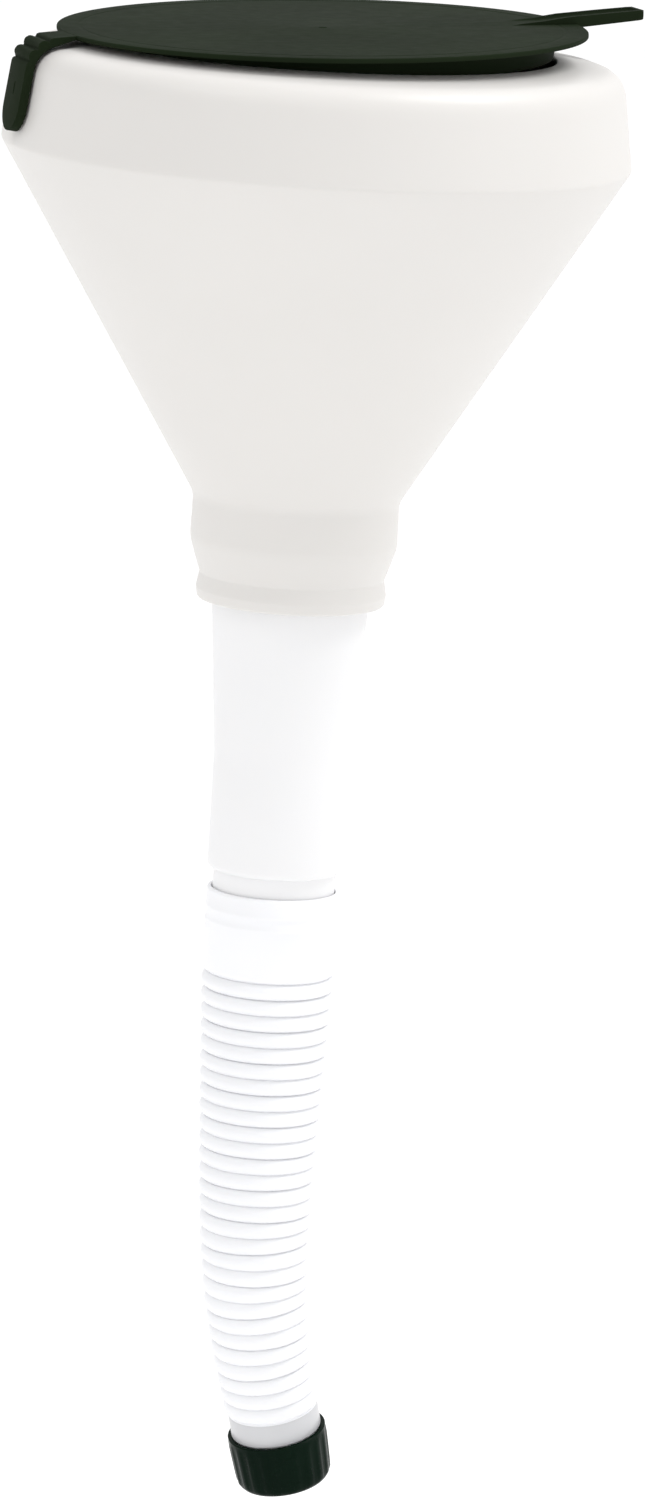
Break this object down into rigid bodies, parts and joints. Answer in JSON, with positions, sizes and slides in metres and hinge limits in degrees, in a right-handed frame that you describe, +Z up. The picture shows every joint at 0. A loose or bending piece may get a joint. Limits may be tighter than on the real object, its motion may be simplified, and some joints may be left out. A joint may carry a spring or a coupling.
{
  "type": "lidded fluid funnel with flexible spout",
  "caption": "Wide natural-plastic funnel with a hinged black lid, strainer, rigid spout, bending corrugated spout and screw cap.",
  "frame": {"origin": "on the bowl's axis at the underside of the neck's bead, where the funnel sits in a ring or filler mouth", "axes": "+Z up along the bowl's axis; -X towards the lid's strap and +X towards its pull tab"},
  "size_m": [0.2181, 0.2082, 0.5107],
  "materials": {
    "natural_body": "satin, milky natural polyethylene",
    "hose": "satin, thin translucent polyethylene",
    "black_soft": "satin, soft black polyethylene",
    "black_cap": "semi-gloss hard black plastic",
    "gauze": "fine woven brass gauze",
    "seal": "matt foam"
  },
  "bodies": {
    "bowl": {"funnel_bowl": "natural_body", "strap_tail": "black_soft"},
    "strap_link_1": {"hinge_link_1": "black_soft"},
    "strap_link_2": {"hinge_link_2": "black_soft"},
    "lid": {"lid": "black_soft"},
    "strainer": {"strainer_frame": "natural_body", "strainer_mesh": "gauze"},
    "spout": {"spout_tube": "natural_body", "hose_cuff": "hose"},
    "ring_01": {"hose_ring_01": "hose"},
    "ring_02": {"hose_ring_02": "hose"},
    "ring_03": {"hose_ring_03": "hose"},
    "ring_04": {"hose_ring_04": "hose"},
    "ring_05": {"hose_ring_05": "hose"},
    "ring_06": {"hose_ring_06": "hose"},
    "ring_07": {"hose_ring_07": "hose"},
    "ring_08": {"hose_ring_08": "hose"},
    "ring_09": {"hose_ring_09": "hose"},
    "ring_10": {"hose_ring_10": "hose"},
    "ring_11": {"hose_ring_11": "hose"},
    "ring_12": {"hose_ring_12": "hose"},
    "ring_13": {"hose_ring_13": "hose"},
    "outlet": {"hose_outlet": "hose"},
    "cap_seal": {"cap_liner": "seal"},
    "cap": {"spout_cap": "black_cap"}
  },
  "joints": [
    {"name": "lid_open", "type": "hinge", "parent": "bowl", "child": "strap_link_1", "pos_m": [-0.10231, 0, 0.17868], "axis": [0, -1, 0], "range_deg": [-0.83, 62.5]},
    {"name": "lid_open_middle", "type": "hinge", "parent": "strap_link_1", "child": "strap_link_2", "pos_m": [-0.09984, 0, 0.18231], "axis": [0, -1, 0], "range_deg": [-0.83, 62.5]},
    {"name": "lid_open_top", "type": "hinge", "parent": "strap_link_2", "child": "lid", "pos_m": [-0.09623, 0, 0.1848], "axis": [0, -1, 0], "range_deg": [-0.83, 62.5]},
    {"name": "strainer_lift", "type": "slide", "parent": "bowl", "child": "strainer", "axis": [0, 0, 1], "range_m": [0, 0.06]},
    {"name": "spout_swivel", "type": "hinge", "parent": "bowl", "child": "spout", "pos_m": [0, 0, 0], "axis": [0, 0, 1], "continuous": true},
    {"name": "hose_bend_sideways", "type": "hinge", "parent": "spout", "child": "ring_01", "pos_m": [0, 0, -0.127], "axis": [0, -1, 0], "range_deg": [-8, 4.2], "stiffness_Nm_per_rad": 2},
    {"name": "hose_bend_forwards", "type": "hinge", "parent": "ring_01", "child": "ring_02", "pos_m": [0, 0, -0.138], "axis": [1, 0, 0], "range_deg": [-8, 6.2], "stiffness_Nm_per_rad": 2},
    {"name": "hose_bend_sideways_2", "type": "hinge", "parent": "ring_02", "child": "ring_03", "pos_m": [0, 0, -0.149], "axis": [0, -1, 0], "range_deg": [-8.34, 4.39], "stiffness_Nm_per_rad": 2},
    {"name": "hose_bend_forwards_2", "type": "hinge", "parent": "ring_03", "child": "ring_04", "pos_m": [0, 0, -0.16], "axis": [1, 0, 0.0002], "range_deg": [-8.34, 6.47], "stiffness_Nm_per_rad": 2},
    {"name": "hose_bend_sideways_3", "type": "hinge", "parent": "ring_04", "child": "ring_05", "pos_m": [0.00001, 0, -0.171], "axis": [0, -1, -0.0004], "range_deg": [-8.68, 4.56], "stiffness_Nm_per_rad": 2},
    {"name": "hose_bend_forwards_3", "type": "hinge", "parent": "ring_05", "child": "ring_06", "pos_m": [0.00004, 0.00001, -0.182], "axis": [1, 0, 0.0031], "range_deg": [-8.68, 6.73], "stiffness_Nm_per_rad": 2},
    {"name": "hose_bend_sideways_4", "type": "hinge", "parent": "ring_06", "child": "ring_07", "pos_m": [0.00007, 0.00005, -0.193], "axis": [0, -1, -0.0036], "range_deg": [-9.01, 4.74], "stiffness_Nm_per_rad": 2},
    {"name": "hose_bend_forwards_4", "type": "hinge", "parent": "ring_07", "child": "ring_08", "pos_m": [0.00032, 0.00009, -0.204], "axis": [0.9997, -0.0001, 0.0227], "range_deg": [-9.01, 6.99], "stiffness_Nm_per_rad": 2},
    {"name": "hose_bend_sideways_5", "type": "hinge", "parent": "ring_08", "child": "ring_09", "pos_m": [0.00057, 0.0003, -0.21499], "axis": [0.0004, -0.9998, -0.019], "range_deg": [-9.34, 4.91], "stiffness_Nm_per_rad": 2},
    {"name": "hose_bend_forwards_5", "type": "hinge", "parent": "ring_09", "child": "ring_10", "pos_m": [0.00152, 0.00051, -0.22595], "axis": [0.9963, -0.0013, 0.0861], "range_deg": [-9.34, 7.24], "stiffness_Nm_per_rad": 2},
    {"name": "hose_bend_sideways_6", "type": "hinge", "parent": "ring_10", "child": "ring_11", "pos_m": [0.00247, 0.0011, -0.23689], "axis": [0.0033, -0.9986, -0.0534], "range_deg": [-9.68, 5.08], "stiffness_Nm_per_rad": 2},
    {"name": "hose_bend_forwards_6", "type": "hinge", "parent": "ring_11", "child": "ring_12", "pos_m": [0.00449, 0.00168, -0.24769], "axis": [0.983, -0.0065, 0.1836], "range_deg": [-9.68, 7.5], "stiffness_Nm_per_rad": 2},
    {"name": "hose_bend_sideways_7", "type": "hinge", "parent": "ring_12", "child": "ring_13", "pos_m": [0.0065, 0.00267, -0.25846], "axis": [0.0102, -0.9959, -0.0899], "range_deg": [-10.01, 5.26], "stiffness_Nm_per_rad": 2},
    {"name": "hose_bend_forwards_7", "type": "hinge", "parent": "ring_13", "child": "outlet", "pos_m": [0.00931, 0.00366, -0.26905], "axis": [0.9669, -0.0132, 0.255], "range_deg": [-10.01, 7.76], "stiffness_Nm_per_rad": 2},
    {"name": "cap_travel", "type": "slide", "parent": "outlet", "child": "cap_seal", "axis": [0.2549, 0.1086, -0.9609], "range_m": [-0.00001, 0.01601]},
    {"name": "cap_turn", "type": "hinge", "parent": "cap_seal", "child": "cap", "pos_m": [0.01443, 0.00584, -0.28836], "axis": [0.2549, 0.1086, -0.9609], "range_deg": [0, 1440]}
  ],
  "couplings": [
    {"joint": "hose_bend_sideways_2", "follows": "hose_bend_sideways", "ratio": 1.0417},
    {"joint": "hose_bend_forwards_2", "follows": "hose_bend_forwards", "ratio": 1.0417},
    {"joint": "hose_bend_sideways_3", "follows": "hose_bend_sideways", "ratio": 1.0833},
    {"joint": "hose_bend_forwards_3", "follows": "hose_bend_forwards", "ratio": 1.0833},
    {"joint": "hose_bend_sideways_4", "follows": "hose_bend_sideways", "ratio": 1.125},
    {"joint": "hose_bend_forwards_4", "follows": "hose_bend_forwards", "ratio": 1.125},
    {"joint": "hose_bend_sideways_5", "follows": "hose_bend_sideways", "ratio": 1.1667},
    {"joint": "hose_bend_forwards_5", "follows": "hose_bend_forwards", "ratio": 1.1667},
    {"joint": "hose_bend_sideways_6", "follows": "hose_bend_sideways", "ratio": 1.2083},
    {"joint": "hose_bend_forwards_6", "follows": "hose_bend_forwards", "ratio": 1.2083},
    {"joint": "hose_bend_sideways_7", "follows": "hose_bend_sideways", "ratio": 1.25},
    {"joint": "hose_bend_forwards_7", "follows": "hose_bend_forwards", "ratio": 1.25},
    {"joint": "cap_travel", "follows": "cap_turn", "m_per_rad": 0.00063662}
  ]
}
